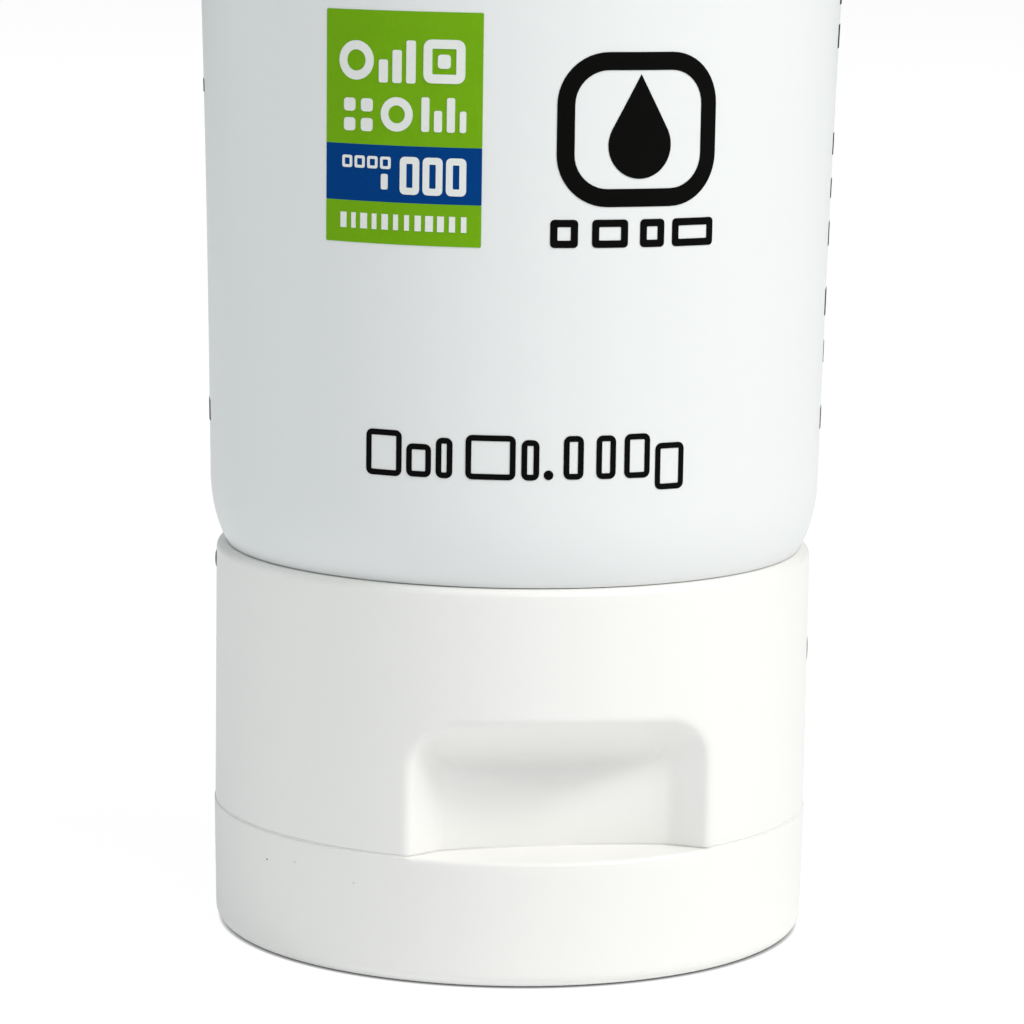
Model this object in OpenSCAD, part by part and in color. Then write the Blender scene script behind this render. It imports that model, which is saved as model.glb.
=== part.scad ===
// Plastic squeeze tube of grease that stands on a flush flip-top closure.
// The origin is the middle of the standing face, +Z is up, and the thumb recess faces -Y.

/* [Closure] */
// Outside diameter of the closure's skirt
cap_d = 39; // [34:0.5:50]
// Height of the lid, from the standing face to the split
lid_h = 8.1; // [7:0.1:12]
// Height of the skirt, from the split to its rim under the tube
skirt_h = 17.2; // [15:0.1:24]
// Gap that shows as the line between lid and skirt
split_gap = 0.12; // [0.05:0.01:0.3]
// Wall of the skirt
skirt_wall = 1.1; // [0.8:0.1:2]
// Wall of the lid
lid_wall = 1.3; // [1:0.1:2]
// Floor of the lid
lid_floor = 1.4; // [1:0.1:2]
// Radial step by which the lid stands out past the skirt
lid_flare = 0.06; // [0:0.01:0.15]
// Round on the skirt's rim
rim_round = 0.7; // [0.3:0.05:1]
// Round on the lid's standing edge
foot_round = 0.9; // [0.4:0.05:1.2]
// Bevel on the two edges along the split
split_bevel = 0.1; // [0.05:0.01:0.2]
// Depth of the dish in the standing face
dish_depth = 0.35; // [0.1:0.05:0.6]
// Width of the flat ring that the lid stands on
foot_ring_w = 3; // [2:0.5:6]

/* [Thumb recess] */
// Width of the recess where it meets the skirt
recess_w = 19.1; // [14:0.1:22]
// Height of the recess above the split
recess_h = 8.65; // [7:0.05:10]
// Depth of the recess at its middle, from the skirt's outside
recess_depth = 4.6; // [3.5:0.05:6]
// How much shallower the back wall is at its two ends
recess_scoop = 0.45; // [0.2:0.05:1.5]
// Round between the back wall and the other walls
recess_fillet = 1.4; // [1:0.1:3]
// Round on the two upper corners of the outline
recess_corner = 3.2; // [2:0.1:4]
// How far the upper and side walls slope inwards from the outline to the back wall
recess_slope = 2.1; // [0.5:0.1:3]

/* [Deck and nozzle] */
// Thickness of the deck that closes the skirt at the split
deck_t = 1.4; // [1:0.1:2]
// Outside diameter of the nozzle under the deck
nozzle_d = 7.6; // [6:0.1:10]
// Length of the nozzle under the deck
nozzle_l = 2.4; // [1.5:0.1:3]
// Diameter of the hole that the grease comes out of
orifice_d = 4; // [3:0.1:5]
// Radial play of the lid's plug in the hole
plug_play = 0.25; // [0.15:0.05:0.4]
// How far the plug goes into the hole
plug_reach = 2.2; // [1:0.1:2.6]
// Radial play between the snap ring under the deck and the lid's wall
ring_play = 0.61; // [0.4:0.01:1.5]
// Wall of the snap ring
ring_wall = 1.2; // [0.8:0.1:2]
// Length of the snap ring under the deck
ring_l = 1.3; // [0.8:0.1:2]
// How far the snap beads stand out
snap_bead = 0.12; // [0.05:0.01:0.15]

/* [Hinge] */
// Distance from the skirt's outside to the hinge line
hinge_out = 0.26; // [0.2:0.01:0.4]
// Width of one hinge strap
strap_w = 3.6; // [2:0.1:5]
// Free space between the two straps
strap_space = 4.4; // [2:0.1:8]
// Thickness of a strap where it leaves the wall
strap_t = 0.4; // [0.25:0.05:0.6]

/* [Tube] */
// Diameter of the sleeve at the shoulder
sleeve_d = 39.84; // [35:0.02:51]
// Length of the sleeve, from the shoulder's round to the seal
sleeve_l = 138; // [100:1:170]
// Height of the shoulder's round
shoulder_h = 4.65; // [3:0.05:6]
// Radial depth of the shoulder's round
shoulder_round = 3; // [2:0.1:4]
// Share of the shoulder's quarter round that shows above the rim
shoulder_share = 0.775; // [0.6:0.005:0.95]
// Thickness of the sleeve's wall, half of that of the seal
film_t = 0.45; // [0.3:0.05:0.7]
// Height of the flat welded seal
seal_h = 7; // [5:0.5:10]
// Depth of the fine grooves pressed into the seal
seal_groove = 0.12; // [0.05:0.01:0.2]
// Pitch of the fine grooves
seal_pitch = 1.1; // [0.8:0.1:2]
// How fast the sleeve narrows from front to back just above the shoulder, per mm
sleeve_lean = 0.018; // [0.01:0.001:0.03]
// How late the sleeve flattens towards the seal
sleeve_bulge = 3; // [2:0.1:4]
// Turn of the printed front and the seal against the thumb recess, in degrees
sleeve_turn = -9.9; // [-20:0.1:20]

/* [Neck] */
// Diameter of the tube's neck
neck_d = 15; // [12:0.5:20]
// Wall of the collar that grips the neck
collar_wall = 1.4; // [1:0.1:2]
// Play between neck and collar, and between shoulder and rim
neck_play = 0.06; // [0.03:0.01:0.1]
// Height of the snap bead round the neck
neck_bead_h = 1.6; // [1:0.1:2.5]
// How far the neck's bead stands out
neck_bead = 0.5; // [0.3:0.1:0.8]
// Slope of the shoulder inside the rim, in degrees
shoulder_slope = 15; // [8:1:25]

/* [Hidden] */
$fn = 96;
eps = 0.01;

cap_r = cap_d / 2;
lid_r = cap_r + lid_flare;
sleeve_r = sleeve_d / 2;
split_z = lid_h;
base_z = split_z + split_gap;
deck_z = base_z + deck_t;
rim_z = split_z + skirt_h;
seat_z = rim_z + neck_play;
round_z = seat_z + shoulder_h;
seal_z = round_z + sleeve_l;
top_z = seal_z + seal_h;
neck_r = neck_d / 2;
collar_r = neck_r + neck_play;
hinge_y = cap_r + hinge_out;
orifice_r = orifice_d / 2;
nozzle_z = base_z - nozzle_l;
plug_r = orifice_r - plug_play;
plug_z = nozzle_z + plug_reach;
pocket_wall = skirt_wall;
neck_tip_z = deck_z + neck_play;
neck_chamfer = 0.6;
neck_fillet = 0.8;
neck_bead_z = neck_tip_z + 2.4;
shoulder_in_r = neck_r + neck_fillet;
skirt_in_r = cap_r - skirt_wall;
shoulder_clear = 0.4;
shoulder_edge = 0.2;
shoulder_t = 1.4;
shoulder_drop = (skirt_in_r - shoulder_clear - shoulder_in_r) * tan(shoulder_slope);
neck_root_z = seat_z - shoulder_edge - shoulder_drop;
collar_top_z = neck_root_z - 1.2;
ring_end_z = base_z - ring_l;
ring_clear = 0.5;
bead_h = 0.4;
lid_in_r = lid_r - lid_wall;
ring_r = lid_in_r - ring_play;
lid_bead_z = ring_end_z - 0.3 - bead_h;
plug_foot = 0.5;
plug_round = 0.8;
strap_root = 2.2;
column_middle = 0.32;
post_r = 0.5;
rod_sink = 0.27;
groove_h = 0.4;
groove_margin = 1.5;

// Profile: a wall on the right of the axis, from radius r0 to r1 and from z0 to z1
module wall_profile(r0, r1, z0, z1) {
  translate([r0, z0]) square([r1 - r0, z1 - z0]);
}

// What a round of radius r takes off an outer corner at [x, z]: way is 1 for an upper corner
// and -1 for a lower one.
module corner_waste(x, z, r, way) {
  difference() {
    translate([x - r, way > 0 ? z - r : z - eps]) square([r + eps, r + eps]);
    translate([x - r, z - way * r]) circle(r = r, $fn = 48);
  }
}

// What a bevel of size c takes off an outer corner at [x, z]
module bevel_waste(x, z, c, way) {
  polygon([[x - c, z + way * eps], [x + eps, z + way * eps], [x + eps, z - way * c],
           [x, z - way * c], [x - c, z]]);
}

module ring(r0, r1, z0, z1) {
  difference() {
    translate([0, 0, z0]) cylinder(r = r1, h = z1 - z0);
    translate([0, 0, z0 - eps]) cylinder(r = r0, h = z1 - z0 + 2 * eps);
  }
}

// Half of the skirt's depth at the distance x from the middle
function skirt_y(x) = sqrt(cap_r * cap_r - x * x);

// The space of the thumb recess, grown by grow on every side and reaching down to z0.
// Four upright round-ended columns make the scooped back wall, two rods make the outline's
// upper corners and two posts its sides, and the walls slope from the outline to the columns.
module recess_space(grow, z0) {
  top = split_z + recess_h;
  r = recess_fillet + grow;
  back = -(cap_r - recess_depth) - recess_fillet;
  side = recess_w / 2 - recess_slope - recess_fillet;
  column_top = top - recess_slope - recess_fillet;
  corner_x = recess_w / 2 - recess_corner;
  corner_z = top - recess_corner;
  rod_y = skirt_y(corner_x) - rod_sink;
  post_x = recess_w / 2 - post_r;
  hull() {
    for (s = [-1, 1], k = [column_middle, 1]) {
      y = back - (k == 1 ? recess_scoop : 0);
      translate([s * k * side, y, column_top]) sphere(r = r, $fn = 40);
      translate([s * k * side, y, z0]) cylinder(r = r, h = column_top - z0, $fn = 40);
    }
    for (s = [-1, 1]) {
      translate([s * corner_x, -rod_y, corner_z])
        rotate([90, 0, 0]) cylinder(r = recess_corner + grow, h = cap_r + 1 - rod_y, $fn = 40);
      translate([s * post_x, -skirt_y(post_x), z0])
        cylinder(r = post_r + grow, h = corner_z - z0, $fn = 24);
      translate([s * corner_x, -cap_r - 1, z0])
        cylinder(r = recess_corner + grow, h = 1, $fn = 40);
    }
  }
}

// The two hinge straps on one side of the split: they run from inside the wall to the hinge line.
module straps(z0, z1) {
  for (s = [-1, 1])
    translate([s * (strap_space + strap_w) / 2 - strap_w / 2, cap_r - strap_root, z0])
      cube([strap_w, hinge_y - cap_r + strap_root, z1 - z0]);
}

// Half of the sleeve's depth at the height h above the shoulder's round
function half_depth(h) =
  sleeve_r - sleeve_lean * h
  - (sleeve_r - sleeve_lean * sleeve_l - film_t) * pow(h / sleeve_l, sleeve_bulge);

// Half of its width there: the film doesn't stretch, so the ellipse keeps the round sleeve's girth
function half_width(b) =
  let (k = 2 * sleeve_r, m = 6 * k - 8 * b)
  (m + sqrt(m * m - 24 * (6 * b * b + k * k - 6 * b * k))) / 12;

// Radius on the shoulder's round, where t goes from 0 at the rim to 1 at the sleeve
function shoulder_r(t) =
  sleeve_r - shoulder_round * (1 - sqrt(1 - pow(shoulder_share * (1 - t), 2)));

// Each level of the sleeve is [half width, half depth, height]
round_steps = 8;
sleeve_steps = 26;
levels = concat(
  [for (i = [0:round_steps - 1])
    let (t = 1 - pow(1 - i / round_steps, 1.5))
    [shoulder_r(t), shoulder_r(t), seat_z + shoulder_h * t]],
  [for (i = [0:sleeve_steps])
    let (h = sleeve_l * i / sleeve_steps, b = half_depth(h))
    [half_width(b), b, round_z + h]]
);

module sleeve() {
  n = 72;
  rows = len(levels);
  points = [for (v = levels, k = [0:n - 1])
    [v[0] * cos(360 * k / n), v[1] * sin(360 * k / n), v[2]]];
  sides = [for (i = [0:rows - 2], k = [0:n - 1], half = [0, 1])
    let (k2 = (k + 1) % n, a = i * n + k, b = i * n + k2, c = a + n, d = b + n)
    half == 0 ? [a, c, b] : [b, c, d]];
  floor_face = [[for (k = [0:n - 1]) k]];
  roof_face = [[for (k = [n - 1:-1:0]) (rows - 1) * n + k]];
  polyhedron(points = points, faces = concat(sides, floor_face, roof_face), convexity = 4);
}

// Flat weld across the top of the sleeve, with the fine grooves of the sealing jaws on both faces
module seal() {
  w = 2 * half_width(film_t);
  difference() {
    translate([-w / 2, -film_t, seal_z - film_t]) cube([w, 2 * film_t, seal_h + film_t]);
    for (z = [seal_z + seal_pitch : seal_pitch : top_z - seal_pitch / 2], s = [-1, 1])
      translate([-w / 2 + groove_margin, s * film_t - seal_groove, z - groove_h / 2])
        cube([w - 2 * groove_margin, 2 * seal_groove, groove_h]);
  }
}

// Sleeve, shoulder and neck are welded into one tube, and the grease fills it up to the neck's tip
module tube() {
  color("white") {
    rotate([0, 0, sleeve_turn]) {
      sleeve();
      seal();
    }
    rotate_extrude() polygon([
      [0, seat_z + shoulder_t], [skirt_in_r - 2 * shoulder_clear, seat_z + shoulder_t],
      [skirt_in_r - shoulder_clear, seat_z], [skirt_in_r - shoulder_clear, seat_z - shoulder_edge],
      [shoulder_in_r, neck_root_z], [neck_r, neck_root_z - neck_fillet],
      [neck_r, neck_bead_z + neck_bead_h], [neck_r + neck_bead, neck_bead_z + neck_bead_h],
      [neck_r, neck_bead_z], [neck_r, neck_tip_z + neck_chamfer],
      [neck_r - neck_chamfer, neck_tip_z], [0, neck_tip_z]
    ]);
  }
}

// Fixed half of the closure: skirt, deck, recess pocket, collar, nozzle, snap ring and hinge straps
module cap_base() {
  color("whitesmoke") difference() {
    union() {
      rotate_extrude() difference() {
        wall_profile(skirt_in_r, cap_r, base_z, rim_z);
        corner_waste(cap_r, rim_z, rim_round, 1);
        bevel_waste(cap_r, base_z, split_bevel, -1);
      }
      translate([0, 0, base_z]) cylinder(r = skirt_in_r + skirt_wall / 2, h = deck_t);
      intersection() {
        recess_space(pocket_wall, base_z);
        translate([0, 0, base_z]) cylinder(r = cap_r - rim_round, h = skirt_h - split_gap - rim_round);
      }
      ring(collar_r, collar_r + neck_bead + collar_wall, deck_z - eps, collar_top_z);
      ring(orifice_r, nozzle_d / 2, nozzle_z, base_z + eps);
      difference() {
        union() {
          ring(ring_r - ring_wall, ring_r, ring_end_z, base_z + eps);
          ring(ring_r - ring_wall, ring_r + snap_bead, ring_end_z, ring_end_z + bead_h);
        }
        recess_space(pocket_wall + ring_clear, -1);
      }
      straps(base_z, base_z + strap_t);
    }
    recess_space(0, -1);
    translate([0, 0, nozzle_z - 1]) cylinder(r = orifice_r, h = nozzle_l + deck_t + 2);
    translate([0, 0, neck_bead_z - neck_play])
      cylinder(r = collar_r + neck_bead, h = neck_bead_h + 2 * neck_play);
  }
}

// Moving half: a shallow cup with the thumb ledge, the plug, the snap bead and its hinge straps
module lid() {
  color("white") difference() {
    union() {
      difference() {
        union() {
          rotate_extrude() difference() {
            wall_profile(0, lid_r, 0, split_z);
            corner_waste(lid_r, 0, foot_round, -1);
            bevel_waste(lid_r, split_z, split_bevel, 1);
          }
          straps(split_z - strap_t, split_z);
        }
        translate([0, 0, lid_floor]) cylinder(r = lid_in_r, h = lid_h);
      }
      intersection() {
        recess_space(pocket_wall, lid_floor - eps);
        translate([0, 0, lid_floor - eps])
          cylinder(r = lid_in_r + eps, h = lid_h - lid_floor + eps);
      }
      ring(lid_in_r - snap_bead, lid_in_r + eps, lid_bead_z, lid_bead_z + bead_h);
      translate([0, 0, lid_floor - eps])
        cylinder(r = plug_r + plug_foot, h = nozzle_z - plug_foot - lid_floor + eps);
      rotate_extrude() difference() {
        wall_profile(0, plug_r, lid_floor, plug_z);
        corner_waste(plug_r, plug_z, plug_round, 1);
      }
    }
    translate([0, 0, -1]) cylinder(r = lid_r - foot_round - foot_ring_w, h = 1 + dish_depth);
  }
}

tube();
cap_base();
lid();
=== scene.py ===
import math

import bmesh
import bpy
import numpy as np
from mathutils import Matrix, Vector


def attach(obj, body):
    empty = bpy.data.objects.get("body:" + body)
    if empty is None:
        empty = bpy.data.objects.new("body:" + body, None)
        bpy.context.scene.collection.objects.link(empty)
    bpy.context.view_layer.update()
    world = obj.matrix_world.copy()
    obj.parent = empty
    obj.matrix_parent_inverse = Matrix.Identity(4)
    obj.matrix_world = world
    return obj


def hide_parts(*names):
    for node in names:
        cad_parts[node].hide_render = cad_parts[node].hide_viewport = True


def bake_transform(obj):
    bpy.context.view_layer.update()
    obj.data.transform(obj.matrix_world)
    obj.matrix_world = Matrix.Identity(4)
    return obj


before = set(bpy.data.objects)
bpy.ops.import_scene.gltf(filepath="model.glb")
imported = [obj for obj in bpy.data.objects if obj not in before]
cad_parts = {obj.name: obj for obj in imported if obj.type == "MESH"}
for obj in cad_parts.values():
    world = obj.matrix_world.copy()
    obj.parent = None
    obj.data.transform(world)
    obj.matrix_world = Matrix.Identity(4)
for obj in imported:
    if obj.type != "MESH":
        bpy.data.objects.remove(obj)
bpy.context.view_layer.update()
MM = 0.001

# Camera, floor and light: the photograph's own viewpoint and a white sweep of floor, which shows
# a thin contact shadow and throws a little light back up. Small warm key lamps stand on the right,
# large soft cool ones on the left and behind, and a large warm one above.
PHOTO_SIZE = 1024
PHOTO_FOCAL_PX = 4423
SENSOR_MM = 36
CAMERA_DISTANCE = 287.7
CAMERA_HEIGHT = 72.9
CAMERA_ASIDE = -0.10
CAMERA_PITCH = 9.04
CAMERA_ROLL = 0.86
VIEW_TURN = -10.7

turn_to_view = Matrix.Rotation(math.radians(VIEW_TURN), 3, "Z")
pitch = math.radians(CAMERA_PITCH)
roll = math.radians(CAMERA_ROLL)
ahead = Vector((0, math.cos(pitch), -math.sin(pitch)))
upward = Vector((0, math.sin(pitch), math.cos(pitch)))
right = Vector((1, 0, 0))
camera_x = turn_to_view @ (right * math.cos(roll) + upward * math.sin(roll))
camera_y = turn_to_view @ (upward * math.cos(roll) - right * math.sin(roll))
camera_z = turn_to_view @ -ahead
camera_data = bpy.data.cameras.new("photo_camera")
camera_data.sensor_width = SENSOR_MM
camera_data.lens = PHOTO_FOCAL_PX * SENSOR_MM / PHOTO_SIZE
camera_data.clip_start = 0.01
camera_data.clip_end = 20
camera = bpy.data.objects.new("photo_camera", camera_data)
camera.matrix_world = Matrix((camera_x, camera_y, camera_z)).transposed().to_4x4()
camera.location = turn_to_view @ Vector((CAMERA_ASIDE, -CAMERA_DISTANCE, CAMERA_HEIGHT)) * MM
bpy.context.scene.collection.objects.link(camera)
bpy.context.scene.camera = camera
bpy.context.scene.view_settings.view_transform = "Standard"


def nodes_of(material):
    material.use_nodes = True
    tree = material.node_tree
    tree.nodes.clear()
    return tree, tree.nodes, tree.links


def area_lamp(name, azimuth, height, distance, size, power, colour):
    # azimuth is counted from the camera's direction, to the right
    data = bpy.data.lights.new(name, "AREA")
    data.size = size
    data.energy = power
    data.color = colour
    lamp = bpy.data.objects.new(name, data)
    a = math.radians(azimuth)
    place = turn_to_view @ Vector((math.sin(a) * distance, -math.cos(a) * distance, height))
    lamp.location = place
    lamp.rotation_euler = (Vector((0, 0, LAMP_AIM_Z)) - place).to_track_quat("-Z", "Y").to_euler()
    bpy.context.scene.collection.objects.link(lamp)


# Each lamp is [azimuth, height, distance, size, power, colour], in metres and watts
COOL = (0.95, 0.99, 1.0)
WARM = (1.0, 0.98, 0.968)
WORLD_COLOUR = (0.92, 0.97, 1.0, 1)
WORLD_STRENGTH = 0.27
WHITE = (1, 1, 1, 1)
LAMP_AIM_Z = 0.06
lamps = {"left_back": (-110, 0.35, 1.0, 0.7, 1.2, COOL),
         "left_front": (-30, 0.45, 1.0, 0.7, 1.25, COOL),
         "behind": (180, 0.7, 0.9, 0.7, 1.4, COOL),
         "above": (-40, 1.2, 0.3, 0.7, 1.6, WARM),
         "key_front": (20, 0.8, 0.8, 0.2, 1.6, WARM),
         "key_middle": (40, 0.8, 0.8, 0.2, 1.0, WARM),
         "key_side": (60, 0.8, 0.8, 0.2, 4.1, WARM),
         "key_far": (75, 0.7, 0.8, 0.2, 2.3, WARM)}
for name, (azimuth, height, distance, size, power, colour) in lamps.items():
    area_lamp(name, azimuth, height, distance, size, power, colour)

world = bpy.data.worlds.new("studio")
world.use_nodes = True
bpy.context.scene.world = world
wn, wl = world.node_tree.nodes, world.node_tree.links
wn.clear()
world_out = wn.new("ShaderNodeOutputWorld")
world_mix = wn.new("ShaderNodeMixShader")
world_glow = wn.new("ShaderNodeBackground")
world_white = wn.new("ShaderNodeBackground")
world_path = wn.new("ShaderNodeLightPath")
world_glow.inputs["Color"].default_value = WORLD_COLOUR
world_glow.inputs["Strength"].default_value = WORLD_STRENGTH
world_white.inputs["Color"].default_value = WHITE
world_white.inputs["Strength"].default_value = 1.0
wl.new(world_path.outputs["Is Camera Ray"], world_mix.inputs["Fac"])
wl.new(world_glow.outputs[0], world_mix.inputs[1])
wl.new(world_white.outputs[0], world_mix.inputs[2])
wl.new(world_mix.outputs[0], world_out.inputs["Surface"])

# The floor glows evenly to the camera, dimmed where the lid nearly touches it, and to all other
# rays it is a matt white board with a faint glow
FLOOR_HALF = 3.0
FLOOR_GLOW = 0.95
FLOOR_SHADE = (0.08, 0.08, 0.08, 1)
FLOOR_WHITE = (0.82, 0.82, 0.82, 1)
FLOOR_BOUNCE = 0.187
BOUNCE_COLOUR = (0.93, 0.98, 1.0, 1)
CONTACT_REACH = 0.3
floor_mesh = bpy.data.meshes.new("floor")
floor_mesh.from_pydata([(sx * FLOOR_HALF, sy * FLOOR_HALF, 0) for sx, sy in
                        ((-1, -1), (1, -1), (1, 1), (-1, 1))], [], [(0, 1, 2, 3)])
floor = bpy.data.objects.new("floor", floor_mesh)
bpy.context.scene.collection.objects.link(floor)
floor_paint = bpy.data.materials.new("floor_paint")
tree, fn, fl = nodes_of(floor_paint)
floor_out = fn.new("ShaderNodeOutputMaterial")
floor_mix = fn.new("ShaderNodeMixShader")
floor_add = fn.new("ShaderNodeAddShader")
floor_glow = fn.new("ShaderNodeEmission")
floor_shade = fn.new("ShaderNodeBsdfDiffuse")
floor_true = fn.new("ShaderNodeBsdfDiffuse")
floor_bounce = fn.new("ShaderNodeEmission")
floor_light = fn.new("ShaderNodeAddShader")
floor_path = fn.new("ShaderNodeLightPath")
floor_glow.inputs["Color"].default_value = WHITE
floor_shade.inputs["Color"].default_value = FLOOR_SHADE
floor_true.inputs["Color"].default_value = FLOOR_WHITE
floor_bounce.inputs["Color"].default_value = BOUNCE_COLOUR
floor_bounce.inputs["Strength"].default_value = FLOOR_BOUNCE
floor_near = fn.new("ShaderNodeAmbientOcclusion")
floor_near.samples = 10
floor_near.inputs["Distance"].default_value = CONTACT_REACH * MM
floor_dim = fn.new("ShaderNodeMath")
floor_dim.operation = "MULTIPLY"
floor_dim.inputs[1].default_value = FLOOR_GLOW
fl.new(floor_near.outputs["AO"], floor_dim.inputs[0])
fl.new(floor_dim.outputs[0], floor_glow.inputs["Strength"])
fl.new(floor_path.outputs["Is Camera Ray"], floor_mix.inputs["Fac"])
fl.new(floor_true.outputs[0], floor_light.inputs[0])
fl.new(floor_bounce.outputs[0], floor_light.inputs[1])
fl.new(floor_light.outputs[0], floor_mix.inputs[1])
fl.new(floor_glow.outputs[0], floor_add.inputs[0])
fl.new(floor_shade.outputs[0], floor_add.inputs[1])
fl.new(floor_add.outputs[0], floor_mix.inputs[2])
fl.new(floor_mix.outputs[0], floor_out.inputs["Surface"])
floor_paint.cycles.emission_sampling = "NONE"
floor_mesh.materials.append(floor_paint)

# Tube: an extruded white polyethylene sleeve, 0.45 mm thick, with a moulded shoulder and neck
# welded into its lower end. It is filled from the other end, which is then pressed flat and
# welded, so its girth is the same all the way up while it turns from round to flat.
SLEEVE_R = 19.92
SLEEVE_TURN = -9.9
SEAT_Z = 25.36
SHOULDER_H = 4.65
SHOULDER_ROUND = 3.0
SHOULDER_SHARE = 0.775
SLEEVE_L = 138.0
SLEEVE_LEAN = 0.018
SLEEVE_BULGE = 3.0
FILM_T = 0.45
SEAL_H = 7.0
SEAL_EDGE = 0.10
RIB_DEPTH = 0.12
ROUND_POWER = 2.0
FLAT_POWER = 12.0
FLATTEN_H = 9
FOLD_DEPTH = 0.16
FOLD_REACH = 26
NECK_R = 7.5
NECK_TIP_Z = 9.68
NECK_TIP_ROUND = 0.6
NECK_ROOT_Z = 22.5
NECK_ROOT_ROUND = 0.8
SEAT_R = 18.0
SEAT_STEP = 0.2
SEAL_BORDER_LOW = 0.3
SEAL_BORDER_HIGH = 0.5
SEAL_GROOVE_SLOPE = 0.25
ROUND_Z = SEAT_Z + SHOULDER_H
SEAL_Z = ROUND_Z + SLEEVE_L
TOP_Z = SEAL_Z + SEAL_H
SLEEVE_COLUMNS = 240
SLEEVE_ROWS = 150
SHOULDER_ROWS = 22
sleeve_matrix = Matrix.Rotation(math.radians(SLEEVE_TURN), 4, "Z")


def half_depth(h):
    # half depth of the sleeve h above its round foot
    return (SLEEVE_R - SLEEVE_LEAN * h
            - (SLEEVE_R - SLEEVE_LEAN * SLEEVE_L - FILM_T) * (h / SLEEVE_L) ** SLEEVE_BULGE)


def half_width(b):
    # half width that keeps the round foot's girth where the half depth is b
    k = 2 * SLEEVE_R
    m = 6 * k - 8 * b
    return (m + math.sqrt(m * m - 24 * (6 * b * b + k * k - 6 * b * k))) / 12


def shoulder_r(t):
    return SLEEVE_R - SHOULDER_ROUND * (1 - math.sqrt(1 - (SHOULDER_SHARE * (1 - t)) ** 2))


def smooth_step(t):
    t = min(max(t, 0.0), 1.0)
    return t * t * (3 - 2 * t)


def sleeve_section(z):
    # half width, half depth and squareness of the sleeve's section at the height z
    if z <= ROUND_Z:
        r = shoulder_r((z - SEAT_Z) / SHOULDER_H)
        return r, r, ROUND_POWER
    h = min(z - ROUND_Z, SLEEVE_L)
    b = half_depth(h)
    flatness = smooth_step((z - SEAL_Z + FLATTEN_H) / FLATTEN_H) ** 2
    return half_width(b), b, ROUND_POWER + (FLAT_POWER - ROUND_POWER) * flatness


def sleeve_point(z, angle, out=0.0):
    # angle 0 is the printed front; out is the distance in front of the surface
    a, b, power = sleeve_section(z)
    s, c = math.sin(angle), math.cos(angle)
    x = (a + out) * math.copysign(abs(s) ** (2 / power), s)
    y = -(b + out) * math.copysign(abs(c) ** (2 / power), c)
    # the film keeps a few faint folds below the weld, where it is gathered from round to flat
    gather = smooth_step((z - SEAL_Z + FOLD_REACH) / 24) * smooth_step((SEAL_Z - z) / 5)
    waves = math.sin(x * 0.55 + 0.8) * math.sin(x * 0.23 + z * 0.05)
    y += gather * FOLD_DEPTH * waves * min(1, b / 2)
    return (x, y, z)


def skin_between(verts, faces, rows):
    # joins closed rows of equally many points with four-cornered faces
    first = len(verts)
    n = len(rows[0])
    for row in rows:
        verts.extend(row)
    for i in range(len(rows) - 1):
        for k in range(n):
            k2 = (k + 1) % n
            a = first + i * n
            faces.append((a + k, a + k2, a + n + k2, a + n + k))


def circle_row(r, z, angles):
    return [(r * math.sin(a), -r * math.cos(a), z) for a in angles]


def finished_piece(name, verts, faces, material, crease=38, matrix=None):
    # scales to metres, closes seams and poles, turns faces outwards and smooths all but creases
    mesh = bpy.data.meshes.new(name)
    mesh.from_pydata([tuple(c * MM for c in v) for v in verts], [], faces)
    bm = bmesh.new()
    bm.from_mesh(mesh)
    bmesh.ops.remove_doubles(bm, verts=bm.verts, dist=0.002 * MM)
    bmesh.ops.dissolve_degenerate(bm, edges=bm.edges, dist=0.001 * MM)
    bmesh.ops.recalc_face_normals(bm, faces=bm.faces)
    bm.to_mesh(mesh)
    bm.free()
    if matrix is not None:
        mesh.transform(matrix)
    mesh.shade_smooth()
    mesh.set_sharp_from_angle(angle=math.radians(crease))
    mesh.materials.append(material)
    piece = bpy.data.objects.new(name, mesh)
    bpy.context.scene.collection.objects.link(piece)
    return piece


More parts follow.
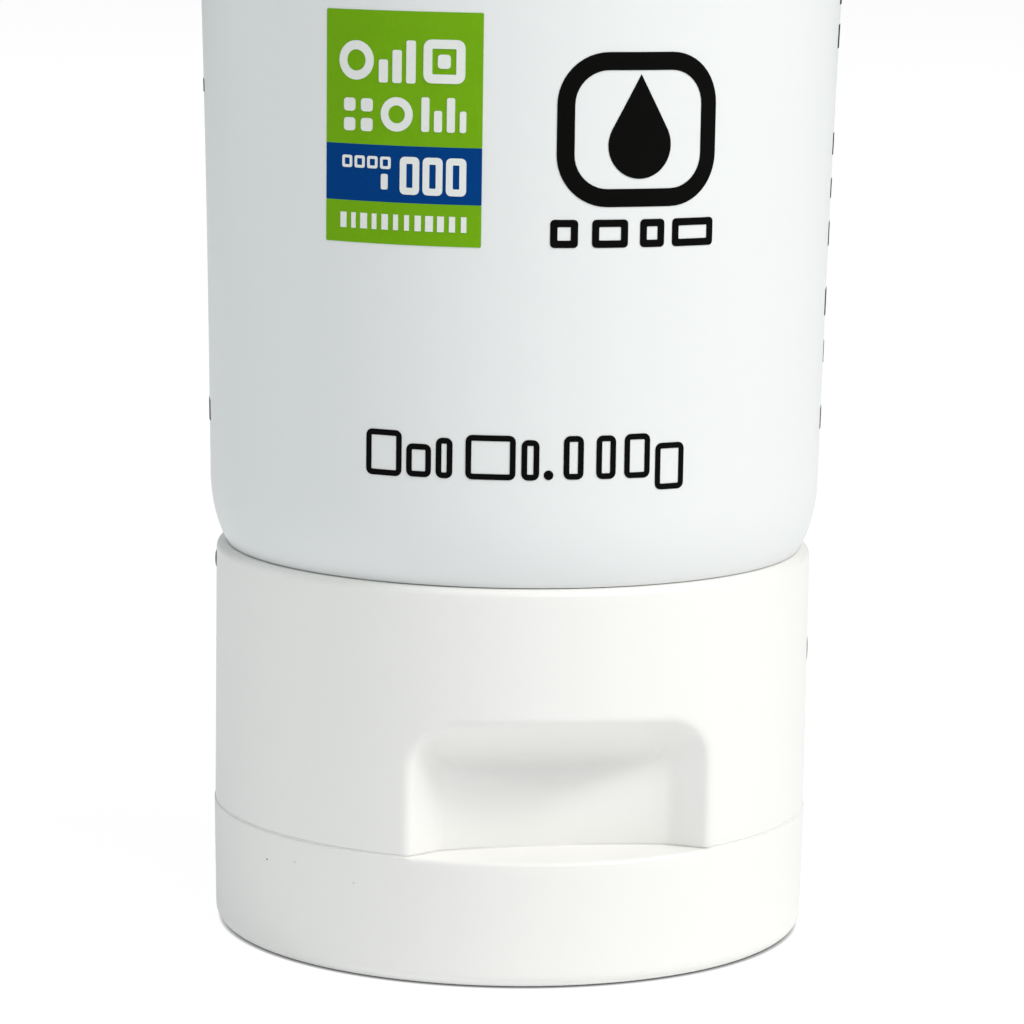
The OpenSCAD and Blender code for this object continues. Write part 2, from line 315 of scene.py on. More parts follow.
def moulded_surface_group():
    # fine unevenness of a moulded or extruded skin: long soft waves and a fine grain, used by
    # every plastic and ink here with its own amounts
    group = bpy.data.node_groups.new("moulded_surface", "ShaderNodeTree")
    face = group.interface
    for label, value in (("Wave Size", 60.0), ("Grain Size", 2500.0), ("Grain Share", 0.3),
                         ("Roughness", 0.4), ("Roughness Spread", 0.05), ("Shade Spread", 0.02)):
        socket = face.new_socket(label, in_out="INPUT", socket_type="NodeSocketFloat")
        socket.default_value = value
    colour = face.new_socket("Colour", in_out="INPUT", socket_type="NodeSocketColor")
    colour.default_value = (0.8, 0.8, 0.8, 1)
    face.new_socket("Colour", in_out="OUTPUT", socket_type="NodeSocketColor")
    face.new_socket("Roughness", in_out="OUTPUT", socket_type="NodeSocketFloat")
    face.new_socket("Height", in_out="OUTPUT", socket_type="NodeSocketFloat")
    n, l = group.nodes, group.links
    given, result = n.new("NodeGroupInput"), n.new("NodeGroupOutput")
    place = n.new("ShaderNodeTexCoord")
    mapping = n.new("ShaderNodeMapping")
    wave, grain = n.new("ShaderNodeTexNoise"), n.new("ShaderNodeTexNoise")
    wave.inputs["Detail"].default_value = 2.0
    grain.inputs["Detail"].default_value = 4.0
    l.new(place.outputs["Object"], mapping.inputs["Vector"])
    l.new(mapping.outputs["Vector"], wave.inputs["Vector"])
    l.new(mapping.outputs["Vector"], grain.inputs["Vector"])
    l.new(given.outputs["Wave Size"], wave.inputs["Scale"])
    l.new(given.outputs["Grain Size"], grain.inputs["Scale"])
    both = n.new("ShaderNodeMix")
    both.data_type = "FLOAT"
    l.new(given.outputs["Grain Share"], both.inputs["Factor"])
    l.new(wave.outputs["Fac"], both.inputs[2])
    l.new(grain.outputs["Fac"], both.inputs[3])
    l.new(both.outputs[0], result.inputs["Height"])
    centred = n.new("ShaderNodeMath")
    centred.operation = "SUBTRACT"
    centred.inputs[1].default_value = 0.5
    l.new(both.outputs[0], centred.inputs[0])
    rough = n.new("ShaderNodeMath")
    rough.operation = "MULTIPLY_ADD"
    l.new(centred.outputs[0], rough.inputs[0])
    l.new(given.outputs["Roughness Spread"], rough.inputs[1])
    l.new(given.outputs["Roughness"], rough.inputs[2])
    l.new(rough.outputs[0], result.inputs["Roughness"])
    shade = n.new("ShaderNodeMath")
    shade.operation = "MULTIPLY_ADD"
    shade.inputs[2].default_value = 1.0
    l.new(centred.outputs[0], shade.inputs[0])
    l.new(given.outputs["Shade Spread"], shade.inputs[1])
    tint = n.new("ShaderNodeVectorMath")
    tint.operation = "SCALE"
    l.new(given.outputs["Colour"], tint.inputs[0])
    l.new(shade.outputs[0], tint.inputs["Scale"])
    l.new(tint.outputs[0], result.inputs["Colour"])
    return group


moulded_surface = moulded_surface_group()


def plastic(name, colour, rough, spread, shade, wave, grain, grain_share, bump, gloss=0.5):
    # a plastic or ink whose colour, gloss and relief come from the moulded surface group
    material = bpy.data.materials.new(name)
    tree, n, l = nodes_of(material)
    out = n.new("ShaderNodeOutputMaterial")
    shader = n.new("ShaderNodeBsdfPrincipled")
    skin = n.new("ShaderNodeGroup")
    skin.node_tree = moulded_surface
    skin.inputs["Colour"].default_value = (*colour, 1)
    skin.inputs["Roughness"].default_value = rough
    skin.inputs["Roughness Spread"].default_value = spread
    skin.inputs["Shade Spread"].default_value = shade
    skin.inputs["Wave Size"].default_value = wave
    skin.inputs["Grain Size"].default_value = grain
    skin.inputs["Grain Share"].default_value = grain_share
    relief = n.new("ShaderNodeBump")
    relief.inputs["Strength"].default_value = 1.0
    relief.inputs["Distance"].default_value = bump * MM
    shader.inputs["Specular IOR Level"].default_value = gloss
    l.new(skin.outputs["Colour"], shader.inputs["Base Color"])
    l.new(skin.outputs["Roughness"], shader.inputs["Roughness"])
    l.new(skin.outputs["Height"], relief.inputs["Height"])
    l.new(relief.outputs["Normal"], shader.inputs["Normal"])
    l.new(shader.outputs[0], out.inputs["Surface"])
    return material


sleeve_film = plastic("sleeve_film", (0.778, 0.797, 0.791), 0.36, 0.10, 0.015, 45, 900, 0.25, 0.02)

columns = [2 * math.pi * k / SLEEVE_COLUMNS for k in range(SLEEVE_COLUMNS)]
verts, faces = [], []
rows = [circle_row(r, z, columns) for r, z in
        ((0.0, NECK_TIP_Z), (NECK_R - NECK_TIP_ROUND, NECK_TIP_Z),
         (NECK_R, NECK_TIP_Z + NECK_TIP_ROUND), (NECK_R, NECK_ROOT_Z - NECK_ROOT_ROUND),
         (NECK_R + NECK_ROOT_ROUND, NECK_ROOT_Z), (SEAT_R, SEAT_Z - SEAT_STEP), (SEAT_R, SEAT_Z))]
for i in range(SHOULDER_ROWS):
    z = SEAT_Z + SHOULDER_H * (1 - (1 - i / SHOULDER_ROWS) ** 1.4)
    rows.append([sleeve_point(z, a) for a in columns])
for i in range(SLEEVE_ROWS + 1):
    z = ROUND_Z + SLEEVE_L * i / SLEEVE_ROWS
    rows.append([sleeve_point(z, a) for a in columns])
seal_half_w = half_width(FILM_T)


def seal_row(z, side, front):
    # the flat weld: side and front take a little off its width and thickness
    row = []
    for a in columns:
        s, c = math.sin(a), math.cos(a)
        row.append(((seal_half_w - side) * math.copysign(abs(s) ** (2 / FLAT_POWER), s),
                    -(FILM_T - front) * math.copysign(abs(c) ** (2 / FLAT_POWER), c), z))
    return row


rows += [seal_row(SEAL_Z + SEAL_BORDER_LOW, 0, 0),
         seal_row(SEAL_Z + SEAL_BORDER_LOW + SEAL_GROOVE_SLOPE, 0, RIB_DEPTH),
         seal_row(TOP_Z - SEAL_BORDER_HIGH - SEAL_GROOVE_SLOPE, 0, RIB_DEPTH),
         seal_row(TOP_Z - SEAL_BORDER_HIGH, 0, 0),
         seal_row(TOP_Z - SEAL_EDGE, 0, 0),
         seal_row(TOP_Z - 0.3 * SEAL_EDGE, 0.3 * SEAL_EDGE, 0.3 * SEAL_EDGE),
         seal_row(TOP_Z, SEAL_EDGE, SEAL_EDGE)]
rows.append([(x, 0.0, z) for x, y, z in rows[-1]])
skin_between(verts, faces, rows)
tube_sleeve = finished_piece("tube_sleeve", verts, faces, sleeve_film, matrix=sleeve_matrix)
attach(tube_sleeve, "root")
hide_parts("tube")

# Weld ribs: the heated jaws that close the tube press fine level lines into both faces of the
# seal, so they are the same film, raised by a tenth of a millimetre between pressed grooves.
RIB_PITCH = 0.55
RIB_W = 0.30
RIB_MARGIN = 1.5
RIB_END_GAP = 1.0
RIB_FULLNESS = 0.95
RIB_BEVEL = 0.05


def block_row_tree():
    # Geometry Nodes: a row of blocks along X or Z, the same each run
    tree = bpy.data.node_groups.new("block_row", "GeometryNodeTree")
    face = tree.interface
    face.new_socket("Geometry", in_out="INPUT", socket_type="NodeSocketGeometry")
    ids = {}
    for label, kind in (("Count", "NodeSocketInt"), ("Start", "NodeSocketVector"),
                        ("Step", "NodeSocketVector"), ("Block", "NodeSocketVector"),
                        ("Least Length", "NodeSocketFloat"), ("Seed", "NodeSocketInt"),
                        ("Cuts", "NodeSocketInt"), ("Material", "NodeSocketMaterial")):
        ids[label] = face.new_socket(label, in_out="INPUT", socket_type=kind).identifier
    face.new_socket("Geometry", in_out="OUTPUT", socket_type="NodeSocketGeometry")
    n, l = tree.nodes, tree.links
    given, result = n.new("NodeGroupInput"), n.new("NodeGroupOutput")
    line = n.new("GeometryNodeMeshLine")
    block = n.new("GeometryNodeMeshCube")
    place = n.new("GeometryNodeInstanceOnPoints")
    scale = n.new("FunctionNodeRandomValue")
    stretch = n.new("ShaderNodeCombineXYZ")
    real = n.new("GeometryNodeRealizeInstances")
    paint = n.new("GeometryNodeSetMaterial")
    scale.data_type = "FLOAT"
    l.new(given.outputs["Material"], paint.inputs["Material"])
    l.new(given.outputs["Count"], line.inputs["Count"])
    l.new(given.outputs["Start"], line.inputs["Start Location"])
    l.new(given.outputs["Step"], line.inputs["Offset"])
    l.new(given.outputs["Block"], block.inputs["Size"])
    l.new(given.outputs["Cuts"], block.inputs["Vertices X"])
    l.new(given.outputs["Least Length"], scale.inputs[2])
    scale.inputs[3].default_value = 1.0
    l.new(given.outputs["Seed"], scale.inputs["Seed"])
    l.new(scale.outputs[1], stretch.inputs["X"])
    stretch.inputs["Y"].default_value = 1.0
    stretch.inputs["Z"].default_value = 1.0
    l.new(line.outputs["Mesh"], place.inputs["Points"])
    l.new(block.outputs["Mesh"], place.inputs["Instance"])
    l.new(stretch.outputs[0], place.inputs["Scale"])
    l.new(place.outputs[0], real.inputs[0])
    l.new(real.outputs[0], paint.inputs["Geometry"])
    l.new(paint.outputs[0], result.inputs[0])
    return tree, ids


row_tree, row_ids = block_row_tree()


def block_row(name, material, count, start, step, block, least=1.0, seed=1, cuts=2):
    # runs the tree on an empty mesh and keeps the result as a plain mesh, in millimetres
    carrier = bpy.data.objects.new(name, bpy.data.meshes.new(name))
    bpy.context.scene.collection.objects.link(carrier)
    modifier = carrier.modifiers.new("row", "NODES")
    modifier.node_group = row_tree
    for label, value in (("Count", count), ("Start", start), ("Step", step), ("Block", block),
                         ("Least Length", least), ("Seed", seed), ("Cuts", cuts),
                         ("Material", material)):
        modifier[row_ids[label]] = value
    view = bpy.context.evaluated_depsgraph_get()
    mesh = bpy.data.meshes.new_from_object(carrier.evaluated_get(view))
    bpy.data.objects.remove(carrier)
    return mesh


def place_mesh(name, mesh, body):
    mesh.shade_smooth()
    mesh.set_sharp_from_angle(angle=math.radians(38))
    piece = bpy.data.objects.new(name, mesh)
    bpy.context.scene.collection.objects.link(piece)
    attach(piece, body)
    return piece


rib_count = int((SEAL_H - 2 * RIB_END_GAP) / RIB_PITCH) + 1
for label, side in (("front", -1), ("back", 1)):
    ribs = block_row("weld_ribs_" + label, sleeve_film, rib_count,
                     (0, side * (FILM_T - RIB_DEPTH), SEAL_Z + RIB_END_GAP), (0, 0, RIB_PITCH),
                     (2 * (seal_half_w - RIB_MARGIN), 2 * RIB_DEPTH * RIB_FULLNESS, RIB_W))
    bm = bmesh.new()
    bm.from_mesh(ribs)
    bmesh.ops.bevel(bm, geom=bm.edges[:], offset=RIB_BEVEL, segments=1, affect="EDGES")
    bm.to_mesh(ribs)
    bm.free()
    ribs.transform(sleeve_matrix @ Matrix.Scale(MM, 4))
    place_mesh("weld_ribs_" + label, ribs, "root")

# Print: screen-printed inks on the sleeve, a few hundredths of a millimetre thick: a green and
# blue panel with plain pale marks, a drop in a rounded frame, and rows of open boxes and bars.
# Each is laid flat first, in millimetres of arc and height, and then wrapped round the sleeve.
INK_T = 0.035
INK_SINK = 0.05
INK_STEP = 0.7


def ink(name, colour, shade, gloss):
    return plastic(name, colour, 0.5, 0.1, shade, 500, 4000, 0.6, 0.004, gloss)


ink_green = ink("ink_green", (0.163, 0.39, 0.006), 0.25, 0.05)
ink_blue = ink("ink_blue", (0.001, 0.046, 0.21), 0.25, 0.02)
ink_black = ink("ink_black", (0.003, 0.003, 0.0027), 0.3, 0.03)
ink_white = ink("ink_white", (0.78, 0.80, 0.77), 0.1, 0.2)


def front_angle(arc, z):
    # angle at which the sleeve's surface is arc millimetres to the right of the print's middle
    a, b, power = sleeve_section(z)
    angle = 0.0
    for _ in range(3):
        mean = math.hypot(a * math.cos(angle * 0.5), b * math.sin(angle * 0.5))
        angle = arc / mean
    return angle


def wrap_print(mesh, layer):
    # a flat print lies at [arc, 0, z]; its Y says which face is which
    co = np.empty(len(mesh.vertices) * 3)
    mesh.vertices.foreach_get("co", co)
    co = co.reshape(-1, 3)
    for i, (x, y, z) in enumerate(co):
        out = INK_T * layer if y < 0 else -INK_SINK
        co[i] = sleeve_point(z, front_angle(x, z), out)
    mesh.vertices.foreach_set("co", co.reshape(-1))
    mesh.transform(sleeve_matrix @ Matrix.Scale(MM, 4))
    mesh.update()


def print_patch(name, shapes, material, layer=1):
    # ink in these shapes, each an outline with its holes, cut fine enough to follow the sleeve
    whole = bmesh.new()
    for outline, *holes in shapes:
        bm = bmesh.new()
        edges = []
        for loop in (outline, *holes):
            vs = [bm.verts.new((x, -1.0, z)) for x, z in loop]
            edges += [bm.edges.new((vs[k], vs[(k + 1) % len(vs)])) for k in range(len(vs))]
        bmesh.ops.triangle_fill(bm, use_beauty=True, use_dissolve=False, edges=edges)
        xs = [x for x, z in outline]
        cut = math.ceil(min(xs) / INK_STEP) * INK_STEP
        while cut < max(xs):
            bmesh.ops.bisect_plane(bm, geom=bm.verts[:] + bm.edges[:] + bm.faces[:], dist=1e-5,
                                   plane_co=(cut, 0, 0), plane_no=(1, 0, 0))
            cut += INK_STEP
        bmesh.ops.recalc_face_normals(bm, faces=bm.faces)
        for v in bmesh.ops.extrude_face_region(bm, geom=bm.faces[:])["geom"]:
            if isinstance(v, bmesh.types.BMVert):
                v.co.y = 1.0
        bmesh.ops.recalc_face_normals(bm, faces=bm.faces)
        part = bpy.data.meshes.new("part")
        bm.to_mesh(part)
        bm.free()
        whole.from_mesh(part)
        bpy.data.meshes.remove(part)
    mesh = bpy.data.meshes.new(name)
    whole.to_mesh(mesh)
    whole.free()
    mesh.materials.append(material)
    wrap_print(mesh, layer)
    return place_mesh(name, mesh, "root")


def rounded_box(x0, x1, z0, z1, r):
    steps = max(2, int(7 * math.sqrt(r)))
    points = []
    for cx, cz, start in ((x1 - r, z0 + r, -90), (x1 - r, z1 - r, 0),
                          (x0 + r, z1 - r, 90), (x0 + r, z0 + r, 180)):
        for k in range(steps + 1):
            a = math.radians(start + 90 * k / steps)
            points.append((cx + r * math.cos(a), cz + r * math.sin(a)))
    return points


def ring_points(cx, cz, r, count):
    return [(cx + r * math.cos(2 * math.pi * k / count), cz + r * math.sin(2 * math.pi * k / count))
            for k in range(count)]


def frame_box(x0, x1, z0, z1, r, line):
    # a rounded box drawn as a line
    return [rounded_box(x0, x1, z0, z1, r),
            rounded_box(x0 + line, x1 - line, z0 + line, z1 - line, max(r - line, 0.05))]


# Panel: a green block with a blue band and a green foot, with pale marks in three sizes
PANEL = (-12.81, -2.51)
PANEL_Z = (46.47, 60.66)
BAND_Z = (49.03, 52.50)
print_patch("print_panel_green", [[rounded_box(*PANEL, BAND_Z[1], PANEL_Z[1], 0.08)],
                                  [rounded_box(*PANEL, PANEL_Z[0], BAND_Z[0], 0.08)]],
            ink_green)
print_patch("print_panel_blue", [[rounded_box(*PANEL, *BAND_Z, 0.03)]], ink_blue)
pale_marks = [
    [ring_points(-10.65, 57.6, 1.2, 28), ring_points(-10.65, 57.6, 0.65, 24)],
    [rounded_box(-9.1, -8.5, 56.3, 57.7, 0.12)], [rounded_box(-8.2, -7.6, 56.3, 58.3, 0.12)],
    [rounded_box(-7.3, -6.7, 56.3, 58.9, 0.12)],
    frame_box(-6.2, -3.6, 56.35, 59.0, 0.5, 0.55), [rounded_box(-5.3, -4.5, 57.25, 58.1, 0.2)],
    [rounded_box(-11.5, -10.7, 54.5, 55.3, 0.2)], [rounded_box(-10.3, -9.5, 54.5, 55.3, 0.2)],
    [rounded_box(-11.5, -10.7, 53.3, 54.1, 0.2)], [rounded_box(-10.3, -9.5, 53.3, 54.1, 0.2)],
    [ring_points(-7.9, 54.4, 1.05, 24), ring_points(-7.9, 54.4, 0.55, 20)],
    [rounded_box(-6.3, -5.8, 53.4, 55.5, 0.12)], [rounded_box(-5.5, -5.0, 53.4, 54.7, 0.12)],
    [rounded_box(-4.7, -4.2, 53.4, 55.5, 0.12)], [rounded_box(-3.9, -3.5, 53.4, 54.7, 0.12)],
    [rounded_box(-8.9, -8.45, 49.8, 50.75, 0.1)]]
pale_marks += [frame_box(-11.6 + 0.88 * k, -10.9 + 0.88 * k, 51.05, 51.8, 0.12, 0.17)
               for k in range(4)]
pale_marks += [frame_box(-7.65 + 1.47 * k, -6.4 + 1.47 * k, 49.55, 51.85, 0.3, 0.42)
               for k in range(3)]
print_patch("print_pale_marks", pale_marks, ink_white, 2)


def printed_row(name, count, left, z, pitch, width, height, material, least, seed, layer):
    # a row of blocks that stands for a line of small print
    flat = block_row(name, material, count, (left + width / 2, 0, z + height / 2), (pitch, 0, 0),
                     (width, 2, height), least, seed, 3)
    wrap_print(flat, layer)
    return place_mesh(name, flat, "root")


printed_row("print_panel_line", 12, -11.75, 47.35, 0.72, 0.5, 0.95, ink_white,
            0.55, 4, 2)

# Emblem: a drop in a rounded frame, with a row of four open boxes under it
EMBLEM = (2.01, 12.52, 49.0, 58.4)
EMBLEM_ROUND = 3.2
EMBLEM_LINE = 1.1
NAME_Z = (46.52, 48.24)
DROP = (7.26, 52.75)
DROP_R = 2.05
DROP_TIP = 4.3
print_patch("print_emblem_frame", [frame_box(*EMBLEM, EMBLEM_ROUND, EMBLEM_LINE)], ink_black)
drop = [(DROP[0] + DROP_R * math.cos(math.radians(a)),
         DROP[1] + DROP_R * math.sin(math.radians(a))) for a in range(-208, 29, 9)]
drop.append((DROP[0], DROP[1] + DROP_TIP))
print_patch("print_emblem_drop", [[drop]], ink_black)
print_patch("print_name_boxes", [frame_box(x0, x1, *NAME_Z, 0.25, 0.45) for x0, x1 in
                                 ((1.69, 3.41), (4.28, 6.57), (7.36, 8.98), (9.53, 12.48))],
            ink_black)

# Line under the panel and the emblem: open boxes, each [left, right, bottom, top]
line_boxes = [(-9.76, -7.36, 32.2, 35.05), (-7.05, -5.45, 32.25, 34.3), (-5.15, -4.1, 32.25, 34.75),
              (-3.29, -0.2, 32.25, 35.0), (0.15, 1.25, 32.25, 34.75), (2.75, 4.0, 32.3, 35.0),
              (4.8, 6.05, 32.3, 35.0), (6.61, 8.31, 32.3, 35.05), (8.69, 10.7, 31.5, 34.4)]
print_patch("print_line_boxes", [frame_box(*box, 0.4, 0.36) for box in line_boxes]
            + [[ring_points(1.83, 32.58, 0.3, 16)]], ink_black)

# Back label: rows of small print in three blocks, of which only the ends of some rows come
# round to the tube's outline. Each row is [bottom, height, first arc, last arc].
BACK_PITCH = 2.9
BACK_SPACE = 0.7
back_rows = [(33.3, 1.35, 28.55, 97.35), (37.6, 1.35, 29.0, 91.0), (40.75, 1.7, 28.1, 92.0),
             (45.25, 1.5, 28.6, 93.0), (48.35, 1.2, 28.55, 90.0), (51.15, 1.35, 28.45, 92.5),
             (54.6, 0.8, 31.5, 97.4), (58.0, 1.5, 28.2, 93.0), (60.8, 1.4, 28.0, 92.0)]
back_rows += [(66.0 + 3.1 * k, 1.4, 32.0, 88.0 + (5 * k) % 4) for k in range(6)]
for number, (z, height, first, last) in enumerate(back_rows):
    count = round((last - first) / BACK_PITCH)
    pitch = (last - first) / count
    printed_row(f"print_back_row_{number:02d}", count, first, z, pitch, pitch - BACK_SPACE, height,
                ink_black, 0.75, number, 1)

# Closure's fixed half: one polypropylene moulding that snaps on to the neck. Its skirt has the
# scooped thumb recess, and its deck carries the nozzle and the ring that the lid snaps over.
CAP_R = 19.5
BASE_Z = 8.22
RIM_Z = 25.3
RIM_ROUND = 0.5
RIM_IN_BEVEL = 0.1
SKIRT_IN_R = 18.4
SPLIT_BEVEL = 0.05
RECESS_HALF_W = 9.63
RECESS_TOP_Z = 16.8
RECESS_ARCH = 0.12
RECESS_CORNER = 3.2
RECESS_DEPTH = 4.6
RECESS_SCOOP = 0.45
RECESS_SCOOP_AT = 6.05
RECESS_SLOPE = 2.2
RECESS_TOP_SLOPE = 2.8
RECESS_FILLET = 1.4
RECESS_LIP = 0.42
NOZZLE_R = 3.8
NOZZLE_Z = 5.82
NOZZLE_ROUND = 0.3
NOZZLE_FOOT_ROUND = 0.4
ORIFICE_R = 2.0
ORIFICE_ROUND = 0.25
DECK_TOP_Z = 9.62
HOLLOW_FLOOR_Z = 18.4
COLLAR_R = 7.56
COLLAR_OUT_R = 9.46
COLLAR_TOP_Z = 21.3
WINDOW_HALF = math.radians(44)
WINDOW_TOP_Z = 20.4
closure_white = plastic("closure_white", (0.853, 0.849, 0.824), 0.42, 0.10, 0.012, 60, 1500, 0.4,
                        0.02)


def back_wall_y(x):
    # the recess's back wall is scooped: it comes forward towards both sides
    return -(CAP_R - RECESS_DEPTH) - RECESS_SCOOP * (x / RECESS_SCOOP_AT) ** 2


corner_half = RECESS_CORNER * math.pi / 4
side_straight = RECESS_TOP_Z - RECESS_CORNER - BASE_Z
side_length = side_straight + corner_half
top_straight = 2 * (RECESS_HALF_W - RECESS_CORNER)


def outline_at(s):
    # point [x, z] and inward direction on the recess's outline, s along it from its left foot
    if s <= side_straight:
        return -RECESS_HALF_W, BASE_Z + s, 1.0, 0.0
    total = 2 * side_length + 2 * corner_half + top_straight
    if s > total / 2:
        x, z, nx, nz = outline_at(total - s)
        return -x, z, -nx, nz
    s -= side_straight
    if s <= 2 * corner_half:
        a = s / RECESS_CORNER
        return (-RECESS_HALF_W + RECESS_CORNER * (1 - math.cos(a)),
                RECESS_TOP_Z - RECESS_CORNER * (1 - math.sin(a)), math.cos(a), -math.sin(a))
    x = -RECESS_HALF_W + RECESS_CORNER + s - 2 * corner_half
    rise = RECESS_ARCH * (1 - (2 * x / top_straight) ** 2) ** 2
    return x, RECESS_TOP_Z + rise, 0.0, -1.0


def recess_profile(x, z, nx, nz):
    # the sloped wall and its fillet, from the outline to the back wall, and their length
    y_out = -math.sqrt(CAP_R ** 2 - x * x)
    slope = RECESS_SLOPE + (RECESS_TOP_SLOPE - RECESS_SLOPE) * nz * nz
    depth = back_wall_y(x + nx * slope) - y_out
    lean = math.atan2(slope, depth)
    tangent = RECESS_FILLET / math.tan(math.pi / 4 + lean / 2)
    wall = math.hypot(slope, depth) - tangent
    track = [(wall * k / 8 * math.sin(lean), wall * k / 8 * math.cos(lean)) for k in range(9)]
    centre = (track[-1][0] + RECESS_FILLET * math.cos(lean),
              track[-1][1] - RECESS_FILLET * math.sin(lean))
    for k in range(1, 17):
        a = lean + (math.pi / 2 - lean) * k / 16
        track.append((centre[0] - RECESS_FILLET * math.cos(a),
                      centre[1] + RECESS_FILLET * math.sin(a)))
    points = []
    for d, inward in track:
        bend = (back_wall_y(x + nx * d) - back_wall_y(x + nx * slope)) * (inward / depth) ** 3
        points.append(Vector((x + nx * d, y_out + inward + bend, z + nz * d)))
    lengths = [0.0]
    for p, q in zip(points, points[1:]):
        lengths.append(lengths[-1] + (q - p).length)

    def at(s):
        for k in range(1, len(points)):
            if lengths[k] >= s or k == len(points) - 1:
                gap = lengths[k] - lengths[k - 1]
                t = (s - lengths[k - 1]) / gap if gap else 1.0
                return points[k - 1].lerp(points[k], min(max(t, 0), 1))

    return at, lengths[-1]


side_steps = [0.0, 0.04, SPLIT_BEVEL] + [
    SPLIT_BEVEL + (side_length - SPLIT_BEVEL) * k / 38 for k in range(1, 39)]
TOP_COUNT = 83
total_length = 2 * side_length + 2 * corner_half + top_straight
arch_s = side_steps + [side_length + (total_length - 2 * side_length) * k / TOP_COUNT
                       for k in range(1, TOP_COUNT)]
arch_s += [total_length - s for s in reversed(side_steps)]
SIDE = len(side_steps) - 1
ARCH = len(arch_s) - 1
OUT_ROWS = 11
LIP_ROWS = 8
WALL_ROWS = 16
BACK_ROWS = 6
ACROSS = OUT_ROWS + LIP_ROWS + WALL_ROWS + BACK_ROWS
assert 2 * ACROSS + 1 == TOP_COUNT


def window_at(i):
    # azimuth and height of the patch's outer border for the arch's point i
    if i <= SIDE:
        z = BASE_Z + side_steps[i] if i <= 2 else (
            BASE_Z + SPLIT_BEVEL + (WINDOW_TOP_Z - BASE_Z - SPLIT_BEVEL) * (i - 2) / (SIDE - 2))
        return -WINDOW_HALF, z
    if i >= ARCH - SIDE:
        azimuth, z = window_at(ARCH - i)
        return -azimuth, z
    return -WINDOW_HALF + 2 * WINDOW_HALF * (i - SIDE) / TOP_COUNT, WINDOW_TOP_Z


def on_skirt(azimuth, z):
    # point on the skirt's outer face, the azimuth counted from the middle of the recess
    return Vector((CAP_R * math.sin(azimuth), -CAP_R * math.cos(azimuth), z))


# Columns of the recess's skin: from the patch's border in to the outline, over its rounded lip,
# down the sloped wall and in on the back wall
arch_columns = []
for i, s in enumerate(arch_s):
    x, z, nx, nz = outline_at(s)
    outline_azimuth = math.asin(x / CAP_R)
    window_azimuth, window_z = window_at(i)
    lip_azimuth = outline_azimuth - nx * RECESS_LIP / CAP_R / math.cos(outline_azimuth)
    lip_z = z - nz * RECESS_LIP
    at, total = recess_profile(x, z, nx, nz)
    column = []
    for j in range(OUT_ROWS):
        t = 1 - (1 - j / OUT_ROWS) ** 1.6
        column.append(on_skirt(window_azimuth + (lip_azimuth - window_azimuth) * t,
                               window_z + (lip_z - window_z) * t))
    first = on_skirt(lip_azimuth, lip_z)
    corner = on_skirt(outline_azimuth, z)
    last = at(RECESS_LIP)
    for j in range(LIP_ROWS):
        t = j / LIP_ROWS
        column.append(first * (1 - t) ** 2 + corner * 2 * t * (1 - t) + last * t * t)
    for j in range(WALL_ROWS):
        column.append(at(RECESS_LIP + (total - RECESS_LIP) * j / WALL_ROWS))
    end = at(total)
    for j in range(BACK_ROWS + 1):
        t = j / BACK_ROWS
        bx = end.x * (1 - 0.82 * t)
        bz = BASE_Z + (end.z - BASE_Z) * (1 - 0.3 * t)
        column.append(Vector((bx, back_wall_y(bx), bz)))
    arch_columns.append(column)

verts, faces = [], []


def add_points(points):
    # adds points to the closure's mesh and gives back their numbers
    start = len(verts)
    verts.extend(tuple(p) for p in points)
    return list(range(start, len(verts)))


arch_ids = [add_points(column) for column in arch_columns]
for i in range(ARCH):
    for j in range(ACROSS):
        faces.append((arch_ids[i][j], arch_ids[i][j + 1], arch_ids[i + 1][j + 1],
                      arch_ids[i + 1][j]))
for i in range(ARCH // 2):
    a, b = arch_ids[i][-1], arch_ids[i + 1][-1]
    c, d = arch_ids[ARCH - i - 1][-1], arch_ids[ARCH - i][-1]
    faces.append((a, b, c, d) if b != c else (a, b, d))

ROUND_COUNT = 220
round_azimuths = [WINDOW_HALF + (2 * math.pi - 2 * WINDOW_HALF) * k / ROUND_COUNT
                  for k in range(1, ROUND_COUNT)]
side_z = [window_at(i)[1] for i in range(SIDE + 1)]
right_ids = [arch_ids[ARCH - i][0] for i in range(SIDE + 1)]
left_ids = [arch_ids[i][0] for i in range(SIDE + 1)]
strips = [right_ids] + [add_points([on_skirt(a, z) for z in side_z]) for a in round_azimuths]
strips.append(left_ids)
for a, b in zip(strips, strips[1:]):
    for k in range(SIDE):
        faces.append((a[k], b[k], b[k + 1], a[k + 1]))

# Around the top: the window's upper border and the rest of the circle make one closed row
top_ids = [arch_ids[i][0] for i in range(SIDE, ARCH - SIDE + 1)] + [s[-1] for s in strips[1:-1]]
top_azimuths = [window_at(i)[0] for i in range(SIDE, ARCH - SIDE + 1)] + round_azimuths


def join_rows(first_ids, rows):
    # carries a closed row of points on through further rows
    last = first_ids
    for row in rows:
        ids = add_points(row)
        n = len(ids)
        for k in range(n):
            faces.append((last[k], last[(k + 1) % n], ids[(k + 1) % n], ids[k]))
        last = ids
    return last


